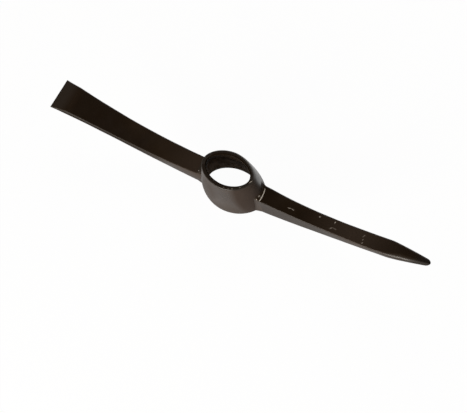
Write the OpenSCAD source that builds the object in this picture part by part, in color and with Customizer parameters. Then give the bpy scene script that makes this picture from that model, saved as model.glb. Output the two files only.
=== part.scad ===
// Pick axe head: an oval tapered eye with a chisel arm and a pointed pick arm welded to it.
// Millimetres. The head lies on the wide mouth of its eye, with both arms curving up.
// The origin is on the eye's axis in the plane of that mouth. The pick arm runs along +X.

/* [Eye] */
// Height of the eye collar, along the handle
eye_h = 67; // [50:1:90]
// Length of the opening at the wide mouth
mouth_l = 78; // [66:1:92]
// Width of the opening at the wide mouth
mouth_w = 52; // [44:1:60]
// Length of the opening at the narrow rim
rim_l = 58.5; // [50:0.5:72]
// Width of the opening at the narrow rim
rim_w = 38; // [32:1:44]
// Wall of the collar at its two ends and round its rim
wall = 4.7; // [3:0.1:8]
// Wall of the two cheeks at the wide mouth
cheek = 6.7; // [4:0.1:10]
// How far the wall swells out between the mouth and the rim
wall_swell = 2; // [0:0.1:3]
// Radius of the collar's edges
collar_edge = 0.7; // [0.4:0.1:1.4]
// Power of the oval: 2 is an ellipse, less is more pointed
oval_power = 1.9; // [1.7:0.05:2.4]

/* [Arms] */
// Height of the arms' upper face where they meet the eye
root_top = 34; // [26:1:40]
// How far above the eye's rim the upper faces reach at the ends of the arms
end_over_rim = 4; // [0:0.5:12]
// Radius along the edges of the arms
arm_edge = 1.5; // [0.8:0.1:3]

/* [Chisel arm] */
// Distance from the eye's axis to the cutting edge
chisel_reach = 250; // [180:1:320]
// Width of the chisel arm at the eye
chisel_root_w = 24.3; // [18:0.1:28]
// Width of the cutting edge
chisel_edge_w = 42; // [30:1:70]
// Height of the arm's underside at the eye
chisel_root_under = 3.5; // [1:0.5:8]
// How far below the eye's rim the cutting edge lies
edge_below_rim = 5; // [4:0.5:14]
// Thickness left at the cutting edge
edge_t = 0.8; // [0.4:0.1:2]
// Length of the ground bevel on the upper face
bevel_l = 22; // [10:1:40]

/* [Pick arm] */
// Distance from the eye's axis to the point
pick_reach = 251; // [180:1:320]
// Width of the pick arm at the eye
pick_root_w = 24; // [18:0.5:26]
// Width of the pick arm along its shank
pick_shank_w = 17.6; // [14:0.2:24]
// How much wider each side is at the foot of the root, for draft
pick_draft = 1.8; // [0:0.1:4]
// Height of the arm's underside at the eye
pick_root_under = 1; // [1:0.5:8]
// How far below the eye's rim the underside would end at the point
pick_end_below_rim = 3.5; // [3:0.5:14]
// Length of the four-sided point
point_l = 45; // [25:1:70]
// How far below the eye's rim the middle of the tip lies
tip_below_rim = 1.5; // [0:0.5:8]
// Width of the blunt tip
tip_w = 6.4; // [3:0.1:8]
// Thickness of the blunt tip
tip_t = 5; // [3:0.1:8]

/* [Weld beads] */
// Length of each bead along its arm, from the end of the collar
bead_l = 6.5; // [4:0.5:12]
// Step at the toe, where the bead ends on the arm
toe_step = 0.5; // [0.3:0.1:1]
// Height of the bead on the collar above the arm
bead_rise = 4.5; // [3:0.5:12]
// Spread of the bead on the collar at each side of the arm, at the top
bead_spread = 4; // [3:0.5:8]
// Spread of the bead at its foot
bead_foot_spread = 3; // [2:0.5:7]
// Length over which the bead rises to that height
bead_rise_l = 7.5; // [6:0.5:14]
// Length over which the bead spreads to that width
bead_spread_l = 14; // [12:0.5:26]
// How far the bead's foot stays above the underside of the arm
bead_lift = 1.2; // [0.6:0.1:3]

/* [Hidden] */

lacquer = [0.16, 0.12, 0.09];
weld_lacquer = [0.24, 0.19, 0.15];

// Counts of points and stations
ring_n = 72;
wall_n = 6;
corner_n = 4;
shank_n = 18;
point_n = 6;
bevel_n = 4;
bead_n = 9;

// Shares along each curve, from the eye to the end of the arm
top_shares = [0, -0.32, 0.27, 1];
chisel_under_shares = [0, 0.17, 0.62, 1];
pick_under_shares = [0, -0.08, 0.58, 1];
chisel_w_shares = [0, 0.27, 0.31, 1];
pick_w_shares = [0, 1.45, 0.7, 0.6];
draft_shares = [1, 0.3, 0, 0];
// Share of the collar's height at which the wall swells most
swell_share = 0.4;
// Share of the blunt tip that is left at its end, and of its thickness over which it rounds off
nose_share = 0.5;
// Largest share of a section that a rounded corner takes up
corner_share = 0.45;
// Powers of the bead's hollow flank, of the point's swelling sides and of its belly
cove_power = 1.5;
point_power = 1.25;
belly_power = 1.1;

// A cubic curve through shares, at t from 0 to 1
function curve(shares, t) =
    let (u = 1 - t)
    shares[0] * u * u * u + 3 * shares[1] * t * u * u + 3 * shares[2] * t * t * u + shares[3] * t * t * t;
function between(a, b, share) = a + (b - a) * share;
function limited(v, low, high) = min(max(v, low), high);
function signed_power(v, p) = sign(v) * pow(abs(v), p);
function joined(lists) = [for (l = lists) for (v = l) v];

// One point of an oval with the given half length and half width
function oval(half_l, half_w, z, i) =
    let (angle = 360 * i / ring_n)
    [half_l * signed_power(cos(angle), 2 / oval_power), half_w * signed_power(sin(angle), 2 / oval_power), z];
// Swelling of the outer wall at a height: none at the mouth and the rim
function swell(z) = wall_swell * sin(180 * pow(z / eye_h, ln(0.5) / ln(swell_share)));
function outer_row(z, inset) = [for (i = [0:ring_n - 1])
    oval(between(mouth_l, rim_l, z / eye_h) / 2 + wall + swell(z) - inset,
         between(mouth_w / 2 + cheek, rim_w / 2 + wall, z / eye_h) + swell(z) - inset, z, i)];
function inner_row(z, inset) = [for (i = [0:ring_n - 1])
    oval(between(mouth_l, rim_l, z / eye_h) / 2 + inset, between(mouth_w, rim_w, z / eye_h) / 2 + inset, z, i)];

// Rounding of an edge, as [height from the face, inset from the side]
edge_steps = [for (a = [0, 45, 90]) [collar_edge * (1 - sin(a)), collar_edge * (1 - cos(a))]];
foot_steps = [for (s = [2, 1, 0]) edge_steps[s]];
outer_rows = concat([for (s = foot_steps) outer_row(s[0], s[1])],
                    [for (i = [1:wall_n - 1]) outer_row(eye_h * i / wall_n, 0)],
                    [for (s = edge_steps) outer_row(eye_h - s[0], s[1])]);
inner_rows = concat([for (s = foot_steps) inner_row(eye_h - s[0], s[1])],
                    [for (s = edge_steps) inner_row(s[0], s[1])]);

// Two triangles for each cell between neighbouring rows of n points
function skin(rows, n) = joined([for (r = [0:rows - 2]) for (i = [0:n - 1])
    let (a = r * n + i, b = r * n + (i + 1) % n)
    [[a, a + n, b], [b, a + n, b + n]]]);

// A closed loft through rows of points, capped at both ends
module loft(rows) {
    n = len(rows[0]);
    last = (len(rows) - 1) * n;
    polyhedron(points = joined(rows),
               faces = concat(skin(len(rows), n), [[for (i = [0:n - 1]) i]], [[for (i = [n - 1:-1:0]) last + i]]));
}

// A closed tube, whose last row of points joins its first
module tube(rows) {
    n = len(rows[0]);
    polyhedron(points = joined(rows),
               faces = [for (f = skin(len(rows) + 1, n)) [for (v = f) v % (len(rows) * n)]]);
}

// A section across X with rounded corners, from its top and its underside, each as [width, height, edge radius].
// It leans back by lean for each unit of height.
function section(x, top, under, lean = 0) =
    let (deep = top[1] - under[1],
         top_r = min(top[2], corner_share * min(top[0], deep)),
         under_r = min(under[2], corner_share * min(under[0], deep)),
         corners = [[top[0] / 2 - top_r, top[1] - top_r, top_r], [top_r - top[0] / 2, top[1] - top_r, top_r],
                    [under_r - under[0] / 2, under[1] + under_r, under_r],
                    [under[0] / 2 - under_r, under[1] + under_r, under_r]])
    [for (q = [0:3]) for (k = [0:corner_n])
        let (angle = 90 * (q + k / corner_n), c = corners[q], z = c[1] + c[2] * sin(angle))
        [x - lean * z, c[0] + c[2] * cos(angle), z]];

// Heights at the ends of the arms, which follow the eye's rim
end_top = eye_h + end_over_rim;
chisel_edge_under = eye_h - edge_below_rim;
pick_end_under = eye_h - pick_end_below_rim;
tip_z = eye_h - tip_below_rim;

// Share of the way from the mouth's end wall to the end of an arm
root_x = mouth_l / 2;
function along(x, reach) = limited((x - root_x) / (reach - root_x), 0, 1);
function top_line(x, reach) = between(root_top, end_top, curve(top_shares, along(x, reach)));

// Chisel arm: width, underside and upper face with its ground bevel
bevel_x = chisel_reach - bevel_l;
function chisel_w(x) = between(chisel_root_w, chisel_edge_w, curve(chisel_w_shares, along(x, chisel_reach)));
function chisel_under(x) =
    between(chisel_root_under, chisel_edge_under, curve(chisel_under_shares, along(x, chisel_reach)));
function chisel_top(x) = x <= bevel_x ? top_line(x, chisel_reach)
    : between(top_line(bevel_x, chisel_reach), chisel_edge_under + edge_t, (x - bevel_x) / bevel_l);
function chisel_section(x) =
    section(x, [chisel_w(x), chisel_top(x), arm_edge], [chisel_w(x), chisel_under(x), arm_edge]);
chisel_stations = concat([0], [for (i = [0:shank_n]) between(root_x, bevel_x, i / shank_n)],
                         [for (i = [1:bevel_n]) between(bevel_x, chisel_reach, i / bevel_n)]);

// Pick arm: width, underside, and the point that starts where the shank ends
point_x = pick_reach - point_l;
tip_edge = tip_t * corner_share;
function pick_w(x) = between(pick_root_w, pick_shank_w, curve(pick_w_shares, along(x, pick_reach)));
function pick_under(x) =
    between(pick_root_under, pick_end_under, curve(pick_under_shares, along(x, pick_reach)));
function pick_foot_w(x) = pick_w(x) + 2 * pick_draft * curve(draft_shares, along(x, pick_reach));
function shank_section(x) =
    section(x, [pick_w(x), top_line(x, pick_reach), arm_edge], [pick_foot_w(x), pick_under(x), arm_edge]);
function point_section(x) =
    let (share = (x - point_x) / point_l,
         w = between(pick_w(point_x), tip_w, pow(share, point_power)),
         edge = between(arm_edge, tip_edge, share))
    section(x, [w, between(top_line(point_x, pick_reach), tip_z + tip_t / 2, share), edge],
            [w, between(pick_under(point_x), tip_z - tip_t / 2, pow(share, belly_power)), edge]);
shank_stations = concat([0], [for (i = [0:shank_n]) between(root_x, point_x, i / shank_n)]);
point_stations = [for (i = [1:point_n]) between(point_x, pick_reach - nose_share * tip_t, i / point_n)];
nose = section(pick_reach, [tip_w * nose_share, tip_z + tip_t * nose_share / 2, tip_edge],
               [tip_w * nose_share, tip_z - tip_t * nose_share / 2, tip_edge]);

// Weld bead: the arm's root grown by a hollow flank that rises and spreads towards the collar.
// Its sections lean with the end of the collar, so that the toe keeps its distance from it.
end_lean = (mouth_l - rim_l) / 2 / eye_h;
toe_x = mouth_l / 2 + wall + bead_l;
function flank(x, size, length) = size * pow(limited((toe_x - x) / length, 0, 1), cove_power);
function bead_section(x, top_w, foot_w, top_z, under_z) =
    let (rise = toe_step + flank(x, bead_rise, bead_rise_l))
    section(x, [top_w + 2 * (toe_step + flank(x, bead_spread, bead_spread_l)), top_z + rise, arm_edge + rise],
            [foot_w + 2 * (toe_step + flank(x, bead_foot_spread, bead_spread_l)), under_z + bead_lift, arm_edge],
            end_lean);
bead_stations = concat([toe_x - 2 * bead_spread_l],
                       [for (i = [0:bead_n]) between(toe_x - bead_spread_l, toe_x, i / bead_n)]);

module eye_block() { loft(outer_rows); }
module chisel_bar() { mirror([1, 0, 0]) loft([for (x = chisel_stations) chisel_section(x)]); }
module pick_bar() {
    loft(concat([for (x = shank_stations) shank_section(x)], [for (x = point_stations) point_section(x)], [nose]));
}

module eye_collar() { color(lacquer) tube(concat(outer_rows, inner_rows)); }
module chisel_arm() {
    color(lacquer) difference() {
        chisel_bar();
        eye_block();
    }
}
module pick_arm() {
    color(lacquer) difference() {
        pick_bar();
        eye_block();
    }
}
module chisel_weld() {
    color(weld_lacquer) difference() {
        mirror([1, 0, 0]) loft([for (x = bead_stations)
            bead_section(x, chisel_w(x), chisel_w(x), top_line(x, chisel_reach), chisel_under(x))]);
        eye_block();
        chisel_bar();
    }
}
module pick_weld() {
    color(weld_lacquer) difference() {
        loft([for (x = bead_stations)
            bead_section(x, pick_w(x), pick_foot_w(x), top_line(x, pick_reach), pick_under(x))]);
        eye_block();
        pick_bar();
    }
}

eye_collar();
chisel_arm();
pick_arm();
chisel_weld();
pick_weld();
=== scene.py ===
import math

import bmesh
import bpy
from mathutils import Matrix, Vector, noise


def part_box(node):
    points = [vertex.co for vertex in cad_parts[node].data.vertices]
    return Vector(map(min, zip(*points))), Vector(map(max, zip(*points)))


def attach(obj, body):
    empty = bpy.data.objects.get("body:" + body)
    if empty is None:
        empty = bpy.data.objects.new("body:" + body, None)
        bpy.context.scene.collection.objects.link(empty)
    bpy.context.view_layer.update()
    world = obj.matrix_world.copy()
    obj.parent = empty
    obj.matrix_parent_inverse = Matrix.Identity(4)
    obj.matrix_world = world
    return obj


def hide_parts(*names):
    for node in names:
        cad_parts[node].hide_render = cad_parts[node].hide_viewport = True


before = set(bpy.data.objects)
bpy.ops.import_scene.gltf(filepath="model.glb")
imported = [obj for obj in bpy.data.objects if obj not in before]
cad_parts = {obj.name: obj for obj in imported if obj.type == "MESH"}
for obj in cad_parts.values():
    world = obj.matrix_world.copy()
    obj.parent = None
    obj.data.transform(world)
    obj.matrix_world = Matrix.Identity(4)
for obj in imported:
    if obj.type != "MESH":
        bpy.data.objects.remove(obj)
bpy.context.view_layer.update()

# Eye collar
# The oval, tapered steel tube that holds the handle. It is punched hot from the bar and drawn over a
# drift, so its walls are a little uneven, and it is dipped in brown-black lacquer with the whole head.
eye_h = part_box("eye_collar")[1].z
mouth_half_l = 0.0437
mouth_half_w = 0.0327
rim_half_l = 0.03395
rim_half_w = 0.0237
end_wall = 0.0047
cheek_wall = 0.0067
wall_bulge = 0.002
bulge_peak_share = 0.4
collar_edge = 0.0012
rim_edge = 0.0013
bore_coat = 0.0008
# How far the rim's corner is rubbed through the coat: partly wear, partly a painted highlight of small
# glints on the near rim
rim_rub_and_highlight = 0.6
rim_worn = 0.0014
rim_worn_l = 0.009
rim_worn_heading = math.radians(25)
oval_power = 1.9
collar_wave = 0.0002
collar_wave_pitch = 0.024
short_waves = 3.1
short_share = 0.2
collar_ring_n = 240
collar_wall_n = 48
collar_edge_n = 6


def between(a, b, share):
    return a + (b - a) * share


def unevenness(point, pitch, depth):
    """How far a hammered face stands out at a point: long waves of a pitch, with shorter ones in them."""
    long_wave = noise.noise(point / pitch)
    short_wave = noise.noise(point * short_waves / pitch)
    return depth * ((1 - short_share) * long_wave + short_share * short_wave)


def oval_row(half_l, half_w, z):
    """A level ring of points on the oval of the eye."""
    row = []
    for i in range(collar_ring_n):
        angle = math.tau * i / collar_ring_n
        endways = math.copysign(abs(math.cos(angle)) ** (2 / oval_power), math.cos(angle))
        sideways = math.copysign(abs(math.sin(angle)) ** (2 / oval_power), math.sin(angle))
        point = Vector((half_l * endways, half_w * sideways, z))
        out = Vector((endways / half_l, sideways / half_w, 0)).normalized()
        row.append(point + out * unevenness(point, collar_wave_pitch, collar_wave))
    return row


def outer_size(z):
    """Half length and half width of the outer face at a height. It swells a little above the mouth."""
    share = min(max(z / eye_h, 0), 1)
    lean = math.log(0.5) / math.log(bulge_peak_share)
    swell = wall_bulge * math.sin(math.pi * share ** lean)
    return between(mouth_half_l, rim_half_l, share) + swell, between(mouth_half_w, rim_half_w, share) + swell


def outer_row(z, inset):
    """A ring of the outer face. One stretch of the rim's corner, round rim_worn_heading, is worn rounder."""
    half_l, half_w = outer_size(z)
    row = oval_row(half_l - inset, half_w - inset, z)
    worn = rim_worn * max(0, 1 - (eye_h - z) / rim_worn_l) ** 2
    for i, point in enumerate(row):
        angle = math.tau * i / collar_ring_n
        inwards = worn * max(0, math.cos(angle - rim_worn_heading)) ** 2
        point -= Vector((math.cos(angle), math.sin(angle), 0)) * inwards
    return row


def inner_row(z, inset):
    """A ring of the bore, which scale and lacquer narrow by bore_coat all round."""
    share = z / eye_h
    half_l = between(mouth_half_l - end_wall, rim_half_l - end_wall, share)
    half_w = between(mouth_half_w - cheek_wall, rim_half_w - end_wall, share)
    return oval_row(half_l - bore_coat + inset, half_w - bore_coat + inset, z)


def rounded_edge(radius):
    """Steps round an edge, from the wall to the flat face at its end: each step's depth below that face,
    its inset from the wall and how far it has rubbed."""
    steps = []
    for k in range(collar_edge_n + 1):
        angle = math.pi / 2 * k / collar_edge_n
        steps.append((radius * (1 - math.sin(angle)), radius * (1 - math.cos(angle)), math.sin(2 * angle)))
    return steps


def wall_levels(rim_radius):
    """Levels up a wall from the mouth to the rim: each one's height, inset and rub."""
    levels = list(reversed(rounded_edge(collar_edge)))
    for k in range(1, collar_wall_n):
        levels.append((between(collar_edge, eye_h - rim_radius, k / collar_wall_n), 0, 0))
    return levels + [(eye_h - depth, inset, rub_and_highlight) for depth, inset, rub_and_highlight in rounded_edge(rim_radius)]


outer_levels = wall_levels(rim_edge)
inner_levels = wall_levels(collar_edge)
collar_rows = [outer_row(height, inset) for height, inset, rub_and_highlight in outer_levels]
collar_rows += [inner_row(height, inset) for height, inset, rub_and_highlight in reversed(inner_levels)]
collar_wear_and_highlight = [[rim_rub_and_highlight * rub_and_highlight] * collar_ring_n for height, inset, rub_and_highlight in outer_levels]
collar_wear_and_highlight += [[0] * collar_ring_n for level in inner_levels]


def skin(name, rows, wear_and_highlight, looped):
    """A smooth closed skin over rows of points, with a share of worn lacquer at each point, which on some
    edges and on the pick's weld toe is a painted highlight.
    """
    n = len(rows[0])
    points = [point for row in rows for point in row]
    faces = []
    last = len(rows) if looped else len(rows) - 1
    for r in range(last):
        here = r * n
        there = (r + 1) % len(rows) * n
        for i in range(n):
            j = (i + 1) % n
            faces.append((here + i, here + j, there + j, there + i))
    if not looped:
        faces.append(tuple(range(n)))
        faces.append(tuple(range(len(points) - n, len(points))))
    mesh = bpy.data.meshes.new(name)
    mesh.from_pydata(points, [], faces)
    shape = bmesh.new()
    shape.from_mesh(mesh)
    bmesh.ops.recalc_face_normals(shape, faces=shape.faces)
    for face in shape.faces:
        face.smooth = len(face.verts) == 4
    shape.to_mesh(mesh)
    shape.free()
    worn = mesh.attributes.new("worn", "FLOAT", "POINT")
    worn.data.foreach_set("value", [value for row in wear_and_highlight for value in row])
    piece = bpy.data.objects.new(name, mesh)
    bpy.context.scene.collection.objects.link(piece)
    return piece


collar = skin("eye_collar_skin", collar_rows, collar_wear_and_highlight, True)
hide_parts("eye_collar")
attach(collar, "root")


def add(tree, kind, **settings):
    """A new shader node of a kind, with its settings."""
    made = tree.nodes.new(kind)
    for name, value in settings.items():
        setattr(made, name, value)
    return made


def noise_at(tree, place, scale, detail):
    """A grain from 0 to 1 with so many waves to the metre."""
    made = add(tree, "ShaderNodeTexNoise")
    made.inputs["Scale"].default_value = scale
    made.inputs["Detail"].default_value = detail
    tree.links.new(place, made.inputs["Vector"])
    return made.outputs["Fac"]


def ranged(tree, value, low, high, to_low, to_high):
    """A value carried from one range to another, and held at its ends."""
    made = add(tree, "ShaderNodeMapRange")
    made.inputs["From Min"].default_value = low
    made.inputs["From Max"].default_value = high
    made.inputs["To Min"].default_value = to_low
    made.inputs["To Max"].default_value = to_high
    tree.links.new(value, made.inputs["Value"])
    return made.outputs["Result"]


def combined(tree, operation, a, b):
    made = add(tree, "ShaderNodeMath", operation=operation)
    tree.links.new(a, made.inputs[0])
    tree.links.new(b, made.inputs[1])
    return made.outputs["Value"]


def tinted(tree, share, a, b):
    """A colour between a and b, each a colour or the socket of one."""
    made = add(tree, "ShaderNodeMix", data_type="RGBA")
    tree.links.new(share, made.inputs["Factor"])
    for value, socket in ((a, made.inputs[6]), (b, made.inputs[7])):
        if isinstance(value, bpy.types.NodeSocket):
            tree.links.new(value, socket)
        else:
            socket.default_value = value
    return made.outputs[2]


def raised(tree, height, depth, strength, under=None):
    """The surface with a relief of the given depth, over another relief if there is one."""
    made = add(tree, "ShaderNodeBump")
    made.inputs["Strength"].default_value = strength
    made.inputs["Distance"].default_value = depth
    tree.links.new(height, made.inputs["Height"])
    if under is not None:
        tree.links.new(under, made.inputs["Normal"])
    return made.outputs["Normal"]


def spot_at(tree, place, centre, heading, size):
    """1 at the centre, falling to 0 at the half sizes of an egg shape turned to a heading."""
    to_spot = add(tree, "ShaderNodeMapping", vector_type="TEXTURE")
    to_spot.inputs["Location"].default_value = centre
    to_spot.inputs["Rotation"].default_value = (0, 0, heading)
    to_spot.inputs["Scale"].default_value = size
    tree.links.new(place, to_spot.inputs["Vector"])
    spot = add(tree, "ShaderNodeTexGradient", gradient_type="SPHERICAL")
    tree.links.new(to_spot.outputs["Vector"], spot.inputs["Vector"])
    return spot.outputs["Fac"]


bare_steel = (0.5, 0.46, 0.41, 1)
rust = (0.03, 0.016, 0.009, 1)
thin_film = (0.036, 0.032, 0.028, 1)
film_share = 0.6
rust_share = 0.6
metal_share = 0.5

# Each grain as its waves to the metre and its detail, and each range as where an effect starts and is full
coat_grain = (26, 5)
coat_range = (0.35, 0.65)
sheen_grain = (70, 4)
sheen_range = (0.3, 0.7)
rub_grain = (420, 3)
rub_range = (1.35, 1.55)
chip_grain = (650, 3)
chip_range = (0.22, 0.34)
margin_range = (0, 0.5)
peel_grain = (480, 2)
peel_depth = 0.0002
peel_strength = 0.25
pit_scale = 170
pit_range = (0, 0.14)
pit_depth = 0.0002
pit_strength = 0.5


def lacquer_over_steel(name, thin_coat, thick_coat, steel, gloss, ior, chips_and_glints=(), patches=()):
    """Brown-black dipping lacquer: thick and thin places, a fine orange peel, pits of the forging scale
    under it, steel where edges have rubbed, patches of another coat, and chips with a rusty margin.
    Rubbed steel and chips set where glints show are painted highlights, and dark patches set where the head
    is in shade are painted shade. gloss is its least and greatest roughness. A patch has a place, heading,
    half sizes, softness of its edge, colour, and roughness where it is duller than the coat. A chip has a
    place, heading, half sizes and how far it is bare."""
    made = bpy.data.materials.new(name)
    made.use_nodes = True
    tree = made.node_tree
    shader = tree.nodes["Principled BSDF"]
    shader.inputs["IOR"].default_value = ior
    place = add(tree, "ShaderNodeTexCoord").outputs["Object"]
    thinness = ranged(tree, noise_at(tree, place, *coat_grain), *coat_range, 0, 1)
    coat = tinted(tree, thinness, thick_coat, thin_coat)
    sheen = ranged(tree, noise_at(tree, place, *sheen_grain), *sheen_range, *gloss)
    for centre, heading, size, edge, colour, roughness in patches:
        cover = ranged(tree, spot_at(tree, place, centre, heading, size), 0, edge, 0, 1)
        coat = tinted(tree, cover, coat, colour)
        sheen = combined(tree, "MAXIMUM", sheen, ranged(tree, cover, 0, 1, gloss[0], roughness))

    # Rubbed places go to a thin film and then to bare steel: wear, and on some edges and the pick's weld toe
    # a painted highlight
    rub_and_highlight = add(tree, "ShaderNodeAttribute", attribute_name="worn").outputs["Fac"]
    coat = tinted(tree, ranged(tree, rub_and_highlight, 0, 1, 0, film_share), coat, thin_film)
    rubbed_through = combined(tree, "ADD", rub_and_highlight, noise_at(tree, place, *rub_grain))
    bare = ranged(tree, rubbed_through, *rub_range, 0, 1)
    stain = None
    for centre, heading, size, depth in chips_and_glints:
        spot = spot_at(tree, place, centre, heading, size)
        ragged = combined(tree, "MULTIPLY", spot, noise_at(tree, place, *chip_grain))
        bare = combined(tree, "MAXIMUM", bare, ranged(tree, ragged, *chip_range, 0, depth))
        margin = ranged(tree, spot, *margin_range, 0, rust_share)
        stain = margin if stain is None else combined(tree, "MAXIMUM", stain, margin)
    if stain is not None:
        coat = tinted(tree, stain, coat, rust)
    tree.links.new(tinted(tree, bare, coat, steel), shader.inputs["Base Color"])
    tree.links.new(ranged(tree, bare, 0, 1, 0, metal_share), shader.inputs["Metallic"])
    tree.links.new(sheen, shader.inputs["Roughness"])

    pits = add(tree, "ShaderNodeTexVoronoi")
    pits.inputs["Scale"].default_value = pit_scale
    tree.links.new(place, pits.inputs["Vector"])
    peel = raised(tree, noise_at(tree, place, *peel_grain), peel_depth, peel_strength)
    pitting = ranged(tree, pits.outputs["Distance"], *pit_range, 0, 1)
    tree.links.new(raised(tree, pitting, pit_depth, pit_strength, peel), shader.inputs["Normal"])
    return made


# On the collar the coat has run thinner. It is satin towards the foot and on the cheek beside the chisel
# arm, dull and brown on the cheek beside the pick arm, and dull black over the chisel arm and along the
# rim. The rim is nicked to the steel where small glints show, so the nicks are partly painted highlights:
# each nick as its place, its heading in degrees, its half length and width, and how far it goes through the
# coat
collar_thick = (0.0148, 0.0082, 0.0041, 1)
collar_thin = (0.0232, 0.0135, 0.0068, 1)
dull_brown = (0.0162, 0.0084, 0.0045, 1)
dull_cheek = ((0.035, -0.014, 0.07), math.radians(23), (0.026, 0.022, 0.105), 0.35, dull_brown, 0.9)
dull_black = (0.0115, 0.0066, 0.0034, 1)
dull_end = ((-0.037, 0.005, 0.055), 0, (0.014, 0.018, 0.035), 0.4, dull_black, 0.9)
black_rim = ((0, 0, eye_h), 0, (0.1, 0.1, 0.0015), 0.6, dull_black, 0.4)
satin_brown = (0.019, 0.0108, 0.0054, 1)
satin_foot = ((0, 0, 0), 0, (0.1, 0.1, 0.045), 0.6, satin_brown, 0.6)
satin_side = ((-0.02, -0.025, 0.037), 0, (0.026, 0.022, 0.05), 0.6, satin_brown, 0.55)
collar_gloss = (0.24, 0.34)
collar_ior = 1.38
nick_depth = 0.002
nick_and_glint_places = ((0.006, -0.0213, 10, 0.0014, 0.0008, 0.4), (0.0116, -0.0206, 20, 0.0014, 0.0008, 0.45),
               (0.0158, -0.0186, 30, 0.0017, 0.0009, 0.6), (0.0234, -0.0132, 40, 0.002, 0.0008, 0.5),
               (0.0318, -0.0011, 66, 0.0056, 0.0008, 0.9))
nicks_and_glints = []
for x, y, heading, half_l, half_w, depth in nick_and_glint_places:
    centre = (x, y, eye_h)
    nicks_and_glints.append((centre, math.radians(heading), (half_l, half_w, nick_depth), depth))
collar.data.materials.append(lacquer_over_steel("collar_lacquer", collar_thin, collar_thick, bare_steel,
                                                collar_gloss, collar_ior, nicks_and_glints,
                                                [satin_foot, satin_side, dull_cheek, dull_end, black_rim]))

# The bore keeps its matt brown forging scale, with upright drag marks of the drift; its colour is painted
# lighter than the scale, as painted light from above. Painted shade darkens it towards the mouth. The
# lacquer reaches a little way into it from the rim, and is painted darker there as shade over a lamp-lit
# band.
bore_dark_with_painted_light = (0.095, 0.0505, 0.0208, 1)
bore_pale_with_painted_light = (0.13, 0.07, 0.03, 1)
# Painted shade: the bore grows darker towards the mouth
bore_foot_painted_shade = (0.046, 0.0245, 0.0102, 1)
foot_fade_l = 0.04
# Painted shade: dark lacquer colour over the band below the rim that the near lamp lights
bore_lip_painted_shade = (0.0085, 0.005, 0.0024, 1)
lip_l = 0.0075
lip_fade_l = 0.0175
scale_shine = 0.02
scale_metal = 0.3
scale_gloss = (0.75, 0.95)
scale_grain = (90, 4)
drag_grain = (260, 4)
drag_stretch = (1, 1, 0.12)
drag_depth = 0.0003
drag_strength = 0.4
bore = bpy.data.materials.new("bore_scale_painted_light")
bore.use_nodes = True
tree = bore.node_tree
shader = tree.nodes["Principled BSDF"]
shader.inputs["Specular IOR Level"].default_value = scale_shine
shader.inputs["Metallic"].default_value = scale_metal
place = add(tree, "ShaderNodeTexCoord").outputs["Object"]
drawn = add(tree, "ShaderNodeMapping")
drawn.inputs["Scale"].default_value = drag_stretch
tree.links.new(place, drawn.inputs["Vector"])
drag = noise_at(tree, drawn.outputs["Vector"], *drag_grain)
scale = tinted(tree, ranged(tree, drag, *coat_range, 0, 1), bore_dark_with_painted_light, bore_pale_with_painted_light)
height = add(tree, "ShaderNodeSeparateXYZ")
tree.links.new(place, height.inputs["Vector"])
scale = tinted(tree, ranged(tree, height.outputs["Z"], 0, foot_fade_l, 0, 1), bore_foot_painted_shade, scale)
lip = ranged(tree, height.outputs["Z"], eye_h - lip_fade_l, eye_h - lip_l, 0, 1)
tree.links.new(tinted(tree, lip, scale, bore_lip_painted_shade), shader.inputs["Base Color"])
sheen = ranged(tree, noise_at(tree, place, *scale_grain), *sheen_range, *scale_gloss)
tree.links.new(sheen, shader.inputs["Roughness"])
tree.links.new(raised(tree, drag, drag_depth, drag_strength), shader.inputs["Normal"])
collar.data.materials.append(bore)
bore_start = len(outer_levels) * collar_ring_n
bore_stop = (len(outer_levels) + len(inner_levels) - collar_edge_n) * collar_ring_n
coat_of_face = [1 if bore_start <= k < bore_stop else 0 for k in range(len(collar.data.polygons))]
collar.data.polygons.foreach_set("material_index", coat_of_face)

# Chisel arm
# A flat bar drawn out and bent up from the eye, which widens to a cutting edge ground from above.
# It is forged steel under the same lacquer, and its top corners are rubbed near the working end, as wear and
# as a painted highlight along the edges.
chisel_reach = -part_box("chisel_arm")[0].x
root_x = mouth_half_l - end_wall
root_top = 0.034
end_top = 0.071
arm_edge = 0.0015
chisel_root_w = 0.0243
chisel_edge_w = 0.042
chisel_root_under = 0.0035
chisel_edge_under = 0.062
edge_t = 0.0008
bevel_l = 0.022
bevel_rub = 0.5
corner_rub_and_highlight = 0.85
bevel_x = chisel_reach - bevel_l
top_shares = (0, -0.32, 0.27, 1)
chisel_under_shares = (0, 0.17, 0.62, 1)
chisel_w_shares = (0, 0.27, 0.31, 1)
corner_share = 0.45
corner_n = 7
face_n = 14
side_n = 10
shank_n = 190
bevel_n = 24
chisel_draw = 0.0012
root_draw = 0.0023
root_draw_x = 0.052
root_draw_power = 2
arm_wave = 0.00022
arm_wave_pitch = 0.03
seat_l = 0.012
seat_shares = (0.02, 0.35, 0.7)
upper_face = 0.5


def curve(shares, t):
    """A smooth curve led by four shares, from the first at t = 0 to the last at t = 1."""
    u = 1 - t
    return shares[0] * u ** 3 + 3 * shares[1] * t * u * u + 3 * shares[2] * t * t * u + shares[3] * t ** 3


def along(x, reach):
    """How far x is along an arm, from 0 at its root to 1 at its end."""
    return min(max((x - root_x) / (reach - root_x), 0), 1)


def in_the_wall(y, z):
    """How far from the eye's axis the middle of the collar's wall is, at a place across an arm's root."""
    half_l, half_w = outer_size(z)
    half_l -= end_wall / 2
    half_w -= end_wall / 2
    return half_l * max(0, 1 - abs(y / half_w) ** oval_power) ** (1 / oval_power)


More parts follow.
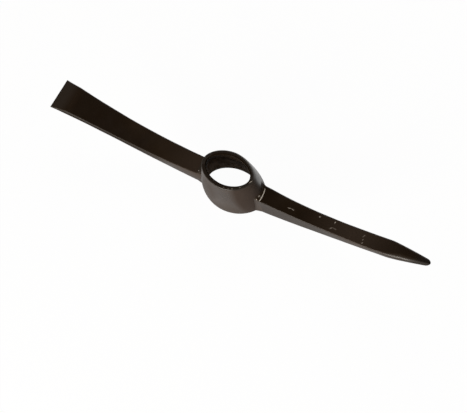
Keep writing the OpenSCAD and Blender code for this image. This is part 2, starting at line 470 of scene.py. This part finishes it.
def bar_section(top, under, drawn_in=0, facet=0):
    """Points round a bar, from its top and its underside as (width, height, edge radius). drawn_in moves one
    upper edge towards the middle, and facet adds to its radius. Each point has its way out from the bar and
    its closeness to a corner from 0 to 1."""
    deep = top[1] - under[1]
    top_r = min(top[2], corner_share * min(top[0], deep))
    under_r = min(under[2], corner_share * min(under[0], deep))
    near_r = min(top_r + facet, corner_share * top[0], deep - under_r)
    corners = ((top[0] / 2 - top_r, top[1] - top_r, top_r),
               (drawn_in + near_r - top[0] / 2, top[1] - near_r, near_r),
               (under_r - under[0] / 2, under[1] + under_r, under_r),
               (under[0] / 2 - under_r, under[1] + under_r, under_r))
    ring = []
    for q in range(4):
        y, z, radius = corners[q]
        for k in range(corner_n + 1):
            angle = math.pi / 2 * (q + k / corner_n)
            out = Vector((0, math.cos(angle), math.sin(angle)))
            near = math.sin(math.pi * k / corner_n)
            ring.append((Vector((0, y, z)) + out * radius, out, near))
        start, out, near = ring[-1]
        y, z, radius = corners[(q + 1) % 4]
        stop = Vector((0, y, z)) + out * radius
        count = face_n if q % 2 == 0 else side_n
        for k in range(1, count):
            ring.append((start.lerp(stop, k / count), out, 0))
    return ring


def forged_row(x, ring, side, wave):
    """A section of an arm at x, on the side of the eye that side names, with hammered faces.
    Near the eye it stretches back to end in the collar's wall."""
    row = []
    for point, out, near in ring:
        seat = max(0, 1 - (x - root_x) / seat_l)
        place = Vector((side * between(x, in_the_wall(point.y, point.z), seat), point.y, point.z))
        row.append(place + out * unevenness(place, arm_wave_pitch, wave))
    return row


def seat_rows(row, side):
    """Rows that close the end of a piece inside the collar's wall, from its middle out to its first row."""
    centre = sum(row, Vector()) / len(row)
    closing = []
    for share in seat_shares:
        ring = [centre.lerp(point, share) for point in row]
        closing.append([Vector((side * in_the_wall(point.y, point.z), point.y, point.z)) for point in ring])
    return closing


def top_line(x, reach):
    """Height of an arm's upper face."""
    return between(root_top, end_top, curve(top_shares, along(x, reach)))


def chisel_w(x):
    return between(chisel_root_w, chisel_edge_w, curve(chisel_w_shares, along(x, chisel_reach)))


def chisel_drawn_in(x):
    """How far the near upper edge lies towards the middle, most of all beside the eye."""
    at_root = max(0, (root_draw_x - x) / (root_draw_x - root_x)) ** root_draw_power
    return chisel_draw * math.sqrt(along(x, chisel_reach)) + root_draw * at_root


def chisel_under(x):
    return between(chisel_root_under, chisel_edge_under, curve(chisel_under_shares, along(x, chisel_reach)))


def chisel_top(x):
    if x <= bevel_x:
        return top_line(x, chisel_reach)
    return between(top_line(bevel_x, chisel_reach), chisel_edge_under + edge_t, (x - bevel_x) / bevel_l)


def chisel_rub_and_highlight(out, near, rubbing, ground):
    """How worn a point is: upper corners are rubbed, partly as a painted highlight, and grinding has thinned
    the upper face's coat.
    """
    if out.z <= 0:
        return 0
    return max(near * rubbing, ground if out.z > upper_face else 0)


chisel_rows = []
chisel_wear_and_highlight = []
chisel_stations = [between(root_x, bevel_x, k / shank_n) for k in range(shank_n)]
chisel_stations += [between(bevel_x, chisel_reach, k / bevel_n) for k in range(bevel_n + 1)]
for x in chisel_stations:
    fade = min(1, (chisel_reach - x) / bevel_l)
    ring = bar_section((chisel_w(x), chisel_top(x), arm_edge), (chisel_w(x), chisel_under(x), arm_edge),
                       chisel_drawn_in(x) * fade)
    chisel_rows.append(forged_row(x, ring, -1, arm_wave * fade))
    rubbing = corner_rub_and_highlight * math.sqrt(along(x, chisel_reach))
    ground = bevel_rub * min(max((x - bevel_x) / (bevel_l / 2), 0), 1)
    chisel_wear_and_highlight.append([chisel_rub_and_highlight(out, near, rubbing, ground) for point, out, near in ring])
closing = seat_rows(chisel_rows[0], -1)
chisel_rows = closing + chisel_rows
chisel_wear_and_highlight = [[0] * len(row) for row in closing] + chisel_wear_and_highlight
chisel = skin("chisel_arm_skin", chisel_rows, chisel_wear_and_highlight, False)
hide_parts("chisel_arm")
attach(chisel, "root")

# The coat thins and browns towards the root and on the ground bevel and is thickest behind the bevel.
# Along the lower side of the near face it is dull black: painted shade.
chisel_thick = (0.0118, 0.0066, 0.0032, 1)
chisel_thin = (0.0185, 0.0108, 0.0054, 1)
root_brown = (0.0235, 0.0132, 0.0069, 1)
bevel_brown = (0.0192, 0.0105, 0.005, 1)
end_dark = (0.0112, 0.0062, 0.0029, 1)
side_painted_shade = (0.0098, 0.0057, 0.0029, 1)
brown_root = ((-root_x, 0, root_top), 0, (0.07, 0.05, 0.05), 0.8, root_brown, 0.6)
brown_bevel = ((-chisel_reach, 0, end_top), 0, (0.031, 0.05, 0.05), 0.5, bevel_brown, 0.5)
dark_end = ((-0.195, 0, 0.06), 0, (0.055, 0.05, 0.05), 0.5, end_dark, 0)
# Painted shade: dull black along the lower side of the near face
painted_shade_side = ((-0.187, -0.0188, 0.047), math.radians(2.7), (0.13, 0.004, 0.05), 0.4, side_painted_shade, 0.95)
chisel_gloss = (0.32, 0.42)
arm_ior = 1.28
chisel.data.materials.append(lacquer_over_steel("chisel_lacquer", chisel_thin, chisel_thick, bare_steel,
                                                chisel_gloss, arm_ior,
                                                patches=[brown_root, dark_end, brown_bevel, painted_shade_side]))

# Pick arm
# A narrow, deep bar drawn down to a four-sided point with a blunt nose. It is forged steel under the
# same lacquer, chipped to the metal in a few places on its upper face, where the chips are also painted
# highlights.
pick_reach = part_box("pick_arm")[1].x
pick_root_w = 0.024
pick_shank_w = 0.0176
pick_draft = 0.0018
pick_root_under = 0.001
pick_end_under = 0.0635
point_l = 0.045
tip_z = 0.0655
tip_w = 0.0064
tip_t = 0.005
nose_l = 0.0042
nose_flat = 0.02
facet_r = 0.006
facet_l = 0.03
pick_rub = 0.5
pick_draw = 0.0008
pick_draw_x = 0.095
pick_under_shares = (0, -0.08, 0.58, 1)
pick_w_shares = (0, 1.45, 0.7, 0.6)
draft_shares = (1, 0.3, 0, 0)
point_power = 1.25
belly_power = 1.1
point_x = pick_reach - point_l
facet_x = point_x - facet_l / 2
point_n = 40
nose_n = 8


def pick_w(x):
    return between(pick_root_w, pick_shank_w, curve(pick_w_shares, along(x, pick_reach)))


def pick_foot_w(x):
    """Width along the underside, which draft makes wider than the upper face near the eye."""
    return pick_w(x) + 2 * pick_draft * curve(draft_shares, along(x, pick_reach))


def pick_drawn_in(x):
    return pick_draw * min(max((pick_draw_x - x) / (pick_draw_x - root_x), 0), 1)


def pick_under(x):
    return between(pick_root_under, pick_end_under, curve(pick_under_shares, along(x, pick_reach)))


def pick_section(x):
    """The top and the underside of a section: a drafted bar, tapered on four sides to its blunt nose."""
    if x <= point_x:
        return ((pick_w(x), top_line(x, pick_reach), arm_edge), (pick_foot_w(x), pick_under(x), arm_edge))
    share = (x - point_x) / point_l
    tip_edge = tip_t * corner_share
    nose = max(0, (x - pick_reach + nose_l) / nose_l)
    blunt = math.sqrt(max(nose_flat, 1 - nose * nose))
    width = between(pick_w(point_x), tip_w, share ** point_power) * blunt
    edge = between(arm_edge, tip_edge, share)
    return ((width, between(top_line(point_x, pick_reach), tip_z + tip_t / 2 * blunt, share), edge),
            (width, between(pick_under(point_x), tip_z - tip_t / 2 * blunt, share ** belly_power), edge))


pick_rows = []
pick_wear = []
pick_stations = [between(root_x, point_x, k / shank_n) for k in range(shank_n)]
pick_stations += [between(point_x, pick_reach - nose_l, k / point_n) for k in range(point_n)]
pick_stations += [between(pick_reach - nose_l, pick_reach, math.sin(math.pi / 2 * k / nose_n))
                  for k in range(nose_n + 1)]
for x in pick_stations:
    facet = facet_r * min(max((x - facet_x) / facet_l, 0), 1)
    ring = bar_section(*pick_section(x), pick_drawn_in(x), facet)
    fade = min(1, (pick_reach - x) / point_l)
    pick_rows.append(forged_row(x, ring, 1, arm_wave * fade))
    rubbing = pick_rub * along(x, pick_reach)
    pick_wear.append([near * rubbing for point, out, near in ring])
closing = seat_rows(pick_rows[0], 1)
pick_rows = closing + pick_rows
pick_wear = [[0] * len(row) for row in closing] + pick_wear
pick = skin("pick_arm_skin", pick_rows, pick_wear, False)
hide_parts("pick_arm")
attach(pick, "root")

# Its coat is scuffed along the middle and satin on its flank. Painted shade makes it black at the nose and
# dull black beside it. It is chipped, and the chips stand where glints show, so they are partly painted
# highlights: each chip as its place along and across the face, its heading in degrees, its half length and
# width with its margin, and how far it goes through the coat
pick_thick = (0.0098, 0.0054, 0.0025, 1)
pick_thin = (0.0152, 0.0087, 0.0042, 1)
scuffed_brown = (0.0268, 0.0162, 0.0097, 1)
scuffed_middle = ((0.16, 0, 0.045), 0, (0.07, 0.05, 0.05), 1, scuffed_brown, 0.55)
flank_brown = (0.0125, 0.007, 0.0034, 1)
satin_flank = ((0.085, -0.0143, 0.015), math.radians(1.7), (0.095, 0.0065, 0.08), 0.3, flank_brown, 0.47)
# Painted shade: black at the nose and dull black on the near side of the tip
nose_painted_shade = (0.0062, 0.0036, 0.0018, 1)
painted_shade_nose = ((pick_reach, 0, tip_z), 0, (0.022, 0.02, 0.02), 0.7, nose_painted_shade, 0.5)
painted_shade_tip = ((0.242, -0.0092, 0.062), math.radians(9), (0.024, 0.0083, 0.02), 0.4, nose_painted_shade, 0.9)
pick_gloss = (0.28, 0.36)
chip_depth = 0.006
# Chips of bare steel, partly painted highlights of glints on the upper face
chip_and_glint_places = ((0.0803, -0.0013, 8, 0.0045, 0.0011, 0.8), (0.0852, -0.0012, -12, 0.0045, 0.001, 0.75),
               (0.118, 0.0041, 40, 0.002, 0.0012, 0.8), (0.1374, 0.0048, 80, 0.003, 0.001, 0.9),
               (0.136, -0.0034, 45, 0.004, 0.0012, 0.4), (0.1405, -0.0026, -10, 0.0045, 0.001, 0.35),
               (0.1743, 0.0022, 60, 0.0034, 0.0009, 0.45), (0.175, -0.0021, 70, 0.0026, 0.0009, 0.45),
               (0.1757, -0.0063, 60, 0.0022, 0.001, 0.4))
chips_and_glints = []
for x, y, heading, half_l, half_w, depth in chip_and_glint_places:
    centre = (x, y, top_line(x, pick_reach))
    chips_and_glints.append((centre, math.radians(heading), (half_l, half_w, chip_depth), depth))
pick.data.materials.append(lacquer_over_steel("pick_lacquer", pick_thin, pick_thick, bare_steel, pick_gloss,
                                              arm_ior, chips_and_glints,
                                              [scuffed_middle, satin_flank, painted_shade_nose, painted_shade_tip]))

# Weld beads
# Fillets of weld metal that join each arm to the collar: hollow flanks with the ripples of the run in
# them, lacquered over, and a low step at the toe, which carries a painted highlight on the pick arm.
bead_l = 0.006
toe_step = 0.0005
side_step = 0.0001
toe_round = 0.0009
toe_highlight_l = 0.0012
toe_highlight_share = 1.1
# Painted highlight along the pick's weld toe: its width, strength, upper-face limit, fade and near and far
# ends
toe_highlight_face = 0.6
toe_highlight_fade = 0.2
toe_highlight_near = -0.0096
toe_highlight_far = 0.0085
pick_bow = 0.0013
bow_middle = -0.0035
bow_half = 0.0117
bead_rise = 0.0045
bead_rise_l = 0.0075
bead_spread = 0.0058
bead_foot_spread = 0.003
bead_spread_l = 0.014
bead_lift = 0.0012
bead_corner = 0.002
cove_power = 1.5
end_lean = (mouth_half_l - rim_half_l) / eye_h
toe_x = mouth_half_l + bead_l
ripple = 0.00008
ripple_n = 26
ripple_slant = 9
bead_n = 40
toe_n = 6
wall_blend = 0.0015


def flank(x, size, length):
    """How much a bead's hollow flank adds at x: nothing at its toe, and size at length behind it."""
    return size * min(max((toe_x - x) / length, 0), 1) ** cove_power


def bead_ring(x, top, under, drawn_in):
    """A section of a bead at x: the arm's own section from its top and underside, grown by the flank."""
    toe = min(1, (toe_x - x) / toe_round)
    rounded = math.sqrt(1 - (1 - toe) ** 2)
    rise = toe_step * rounded + flank(x, bead_rise, bead_rise_l)
    widening = side_step * rounded + flank(x, bead_spread, bead_spread_l)
    foot_widening = side_step * rounded + flank(x, bead_foot_spread, bead_spread_l)
    edge = arm_edge + flank(x, bead_corner, bead_spread_l)
    ring = bar_section((top[0] + 2 * widening, top[1] + rise, edge),
                       (under[0] + 2 * foot_widening, under[1] + bead_lift, arm_edge), drawn_in + widening)
    rippled = []
    lag = (toe_x - x) / (bead_spread_l * ripple_slant)
    for k, (point, out, near) in enumerate(ring):
        swell = ripple * toe * math.sin(math.tau * ripple_n * (k / len(ring) + lag))
        rippled.append((point + out * swell, out, near))
    return rippled


def off_the_wall(point):
    """How far a point stands off the collar's outer face, and the way out of that face there."""
    half_l, half_w = outer_size(point.z)
    endways = math.copysign(abs(point.x / half_l) ** (oval_power - 1) / half_l, point.x)
    sideways = math.copysign(abs(point.y / half_w) ** (oval_power - 1) / half_w, point.y)
    size = (abs(point.x / half_l) ** oval_power + abs(point.y / half_w) ** oval_power) ** (1 / oval_power)
    slope = Vector((endways, sideways, 0)).length
    out = Vector((endways / slope, sideways / slope, end_lean)).normalized()
    return (size - 1) / slope, out


def painted_toe_highlight(point, out, toe_highlight):
    """How strong the painted highlight on the toe is at a point: on its upper face, between its near and far
    limits.
    """
    if out.z <= toe_highlight_face or not toe_highlight_near < point.y < toe_highlight_far:
        return 0
    return toe_highlight * (1 - point.y / toe_highlight_fade)


def bead(name, side, section, drawn_in, bow, toe_highlight):
    """The bead on one side of the eye. Its toe runs back by bow at bow_half from its foremost place, and
    the last argument is how strong the painted highlight on its toe is."""
    rows = []
    wear_and_highlight = []
    stations = [between(toe_x - bead_spread_l, toe_x - toe_round, k / bead_n) for k in range(bead_n)]
    stations += [toe_x - toe_round * (1 - math.sin(math.pi / 2 * k / toe_n)) for k in range(toe_n + 1)]
    for x in stations:
        row = []
        ring = bead_ring(x, *section(x), drawn_in(x - end_lean * root_top))
        for point, out, near in ring:
            leaning = x - end_lean * point.z - bow * ((point.y - bow_middle) / bow_half) ** 2
            row.append(Vector((side * max(leaning, in_the_wall(point.y, point.z)), point.y, point.z)))
        rows.append(row)
        at_toe = toe_highlight if x > toe_x - toe_highlight_l else 0
        wear_and_highlight.append([painted_toe_highlight(point, out, at_toe) for point, out, near in ring])
    closing = seat_rows(rows[0], side)
    made = skin(name, closing + rows, [[0] * len(row) for row in closing] + wear_and_highlight, False)
    normals = []
    for vertex in made.data.vertices:
        gap, out = off_the_wall(vertex.co)
        share = min(max(1 - gap / wall_blend, 0), 1)
        normals.append(vertex.normal.lerp(out, share * share * (3 - 2 * share)).normalized())
    made.data.normals_split_custom_set_from_vertices(normals)
    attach(made, "root")
    return made


def chisel_section(x):
    return ((chisel_w(x), top_line(x, chisel_reach)), (chisel_w(x), chisel_under(x)))


# A painted highlight of bright steel lies along the toe on the pick arm, and painted glints of the same
# steel sit
# in the hollows: each glint as its place, its heading, its half sizes and how far it is bare
painted_highlight_steel = (0.8, 0.75, 0.68, 1)
painted_glints = (((0.0412, -0.0048, 0.036), math.radians(80), (0.0036, 0.0011, 0.006), 0.85),
         ((0.0402, -0.0099, 0.035), 0, (0.0012, 0.0012, 0.006), 0.5),
         ((-0.0425, -0.0076, 0.035), 0, (0.0013, 0.0013, 0.006), 0.9))
weld_thick = (0.0138, 0.0077, 0.0037, 1)
weld_thin = (0.0215, 0.0125, 0.0062, 1)
weld_gloss = (0.34, 0.44)
weld_lacquer = lacquer_over_steel("weld_lacquer", weld_thin, weld_thick, painted_highlight_steel, weld_gloss, arm_ior,
                                  painted_glints)
chisel_bead = bead("chisel_weld_bead", -1, chisel_section, chisel_drawn_in, 0, 0)
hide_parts("chisel_weld")
chisel_bead.data.materials.append(weld_lacquer)
pick_bead = bead("pick_weld_bead", 1, pick_section, pick_drawn_in, pick_bow, toe_highlight_share)
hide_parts("pick_weld")
pick_bead.data.materials.append(weld_lacquer)

# Floor, light and camera
# A plain white floor under the head, pale walls that darken overhead, and two soft lamps at the sides,
# seen from high above one cheek with the camera turned so that the head lies across the picture.
floor_half = 4
floor_mesh = bpy.data.meshes.new("floor")
floor_corners = [(-floor_half, -floor_half, 0), (floor_half, -floor_half, 0),
                 (floor_half, floor_half, 0), (-floor_half, floor_half, 0)]
floor_mesh.from_pydata(floor_corners, [], [(0, 1, 2, 3)])
floor = bpy.data.objects.new("floor", floor_mesh)
bpy.context.scene.collection.objects.link(floor)

floor_white = (0.9, 0.9, 0.9, 1)
glow_near = (1, 1, 1, 1)
glow_far = (0.9, 0.855, 0.79, 1)
floor_near_l = 0.7
floor_far_l = 3.5
floor_glow_share = 0.97
floor_shine_share = 0.85
floor_paint = bpy.data.materials.new("floor_white")
floor_paint.use_nodes = True
tree = floor_paint.node_tree
tree.nodes.clear()
paint = add(tree, "ShaderNodeBsdfDiffuse")
paint.inputs["Color"].default_value = floor_white
glow = add(tree, "ShaderNodeEmission")
glow.inputs["Strength"].default_value = 1
from_head = add(tree, "ShaderNodeVectorMath", operation="LENGTH")
tree.links.new(add(tree, "ShaderNodeTexCoord").outputs["Object"], from_head.inputs[0])
far = ranged(tree, from_head.outputs["Value"], floor_near_l, floor_far_l, 0, 1)
tree.links.new(tinted(tree, far, glow_near, glow_far), glow.inputs["Color"])
rays = add(tree, "ShaderNodeLightPath")
seen = ranged(tree, rays.outputs["Is Camera Ray"], 0, 1, 0, floor_glow_share)
mirrored = combined(tree, "MAXIMUM", rays.outputs["Is Glossy Ray"], rays.outputs["Is Transmission Ray"])
mirrored = ranged(tree, mirrored, 0, 1, 0, floor_shine_share)
blend = add(tree, "ShaderNodeMixShader")
tree.links.new(combined(tree, "MAXIMUM", seen, mirrored), blend.inputs["Fac"])
tree.links.new(paint.outputs["BSDF"], blend.inputs[1])
tree.links.new(glow.outputs["Emission"], blend.inputs[2])
surface = add(tree, "ShaderNodeOutputMaterial")
tree.links.new(blend.outputs["Shader"], surface.inputs["Surface"])
floor.data.materials.append(floor_paint)

wall_light = 0.9
wall_white = (1, 0.95, 0.88, 1)
wall_top = 0.1
ceiling_light = 0.03
ceiling_start = 0.5
world = bpy.data.worlds.new("studio")
bpy.context.scene.world = world
world.use_nodes = True
tree = world.node_tree
room = tree.nodes["Background"]
way = add(tree, "ShaderNodeTexCoord")
split = add(tree, "ShaderNodeSeparateXYZ")
tree.links.new(way.outputs["Generated"], split.inputs["Vector"])
shade = add(tree, "ShaderNodeMapRange", interpolation_type="SMOOTHSTEP")
shade.inputs["From Min"].default_value = wall_top
shade.inputs["From Max"].default_value = ceiling_start
shade.inputs["To Min"].default_value = wall_light
shade.inputs["To Max"].default_value = ceiling_light
tree.links.new(split.outputs["Z"], shade.inputs["Value"])
tree.links.new(shade.outputs["Result"], room.inputs["Strength"])
room.inputs["Color"].default_value = wall_white

lamp_white = (1, 0.94, 0.86)
near_lamp_place = Vector((0.1, -1.5, 0.4))
near_lamp_size = (1.4, 0.4)
near_lamp_watts = 46
far_lamp_place = Vector((-0.2, 1.3, 0.9))
far_lamp_size = (1.2, 0.6)
far_lamp_watts = 12


def soft_lamp(name, place, size, watts):
    """A wide lamp that faces the foot of the eye."""
    lamp = bpy.data.lights.new(name, "AREA")
    lamp.shape = "RECTANGLE"
    lamp.size, lamp.size_y = size
    lamp.energy = watts
    lamp.color = lamp_white
    made = bpy.data.objects.new(name, lamp)
    made.location = place
    made.rotation_mode = "QUATERNION"
    made.rotation_quaternion = (-place).to_track_quat("-Z", "Y")
    bpy.context.scene.collection.objects.link(made)


soft_lamp("near_lamp", near_lamp_place, near_lamp_size, near_lamp_watts)
soft_lamp("far_lamp", far_lamp_place, far_lamp_size, far_lamp_watts)

azimuth = math.radians(50.27)
elevation = math.radians(71.44)
roll = math.radians(-23.32)
distance = 0.7723
focal_px = 600
picture_w_px = 467
film_w = 36
look_left = 0.00153
look_down = 0.02359
back = Vector((math.sin(azimuth) * math.cos(elevation), -math.cos(azimuth) * math.cos(elevation),
               math.sin(elevation)))
level = Vector((math.cos(azimuth), math.sin(azimuth), 0))
upright = back.cross(level)
right = level * math.cos(roll) + upright * math.sin(roll)
up = upright * math.cos(roll) - level * math.sin(roll)
lens = bpy.data.cameras.new("camera")
lens.sensor_width = film_w
lens.lens = film_w * focal_px / picture_w_px
camera = bpy.data.objects.new("camera", lens)
camera.matrix_world = Matrix.Translation(back * distance - right * look_left - up * look_down) @ Matrix(
    (right, up, back)).transposed().to_4x4()
bpy.context.scene.collection.objects.link(camera)
bpy.context.scene.camera = camera
bpy.context.scene.view_settings.view_transform = "Standard"
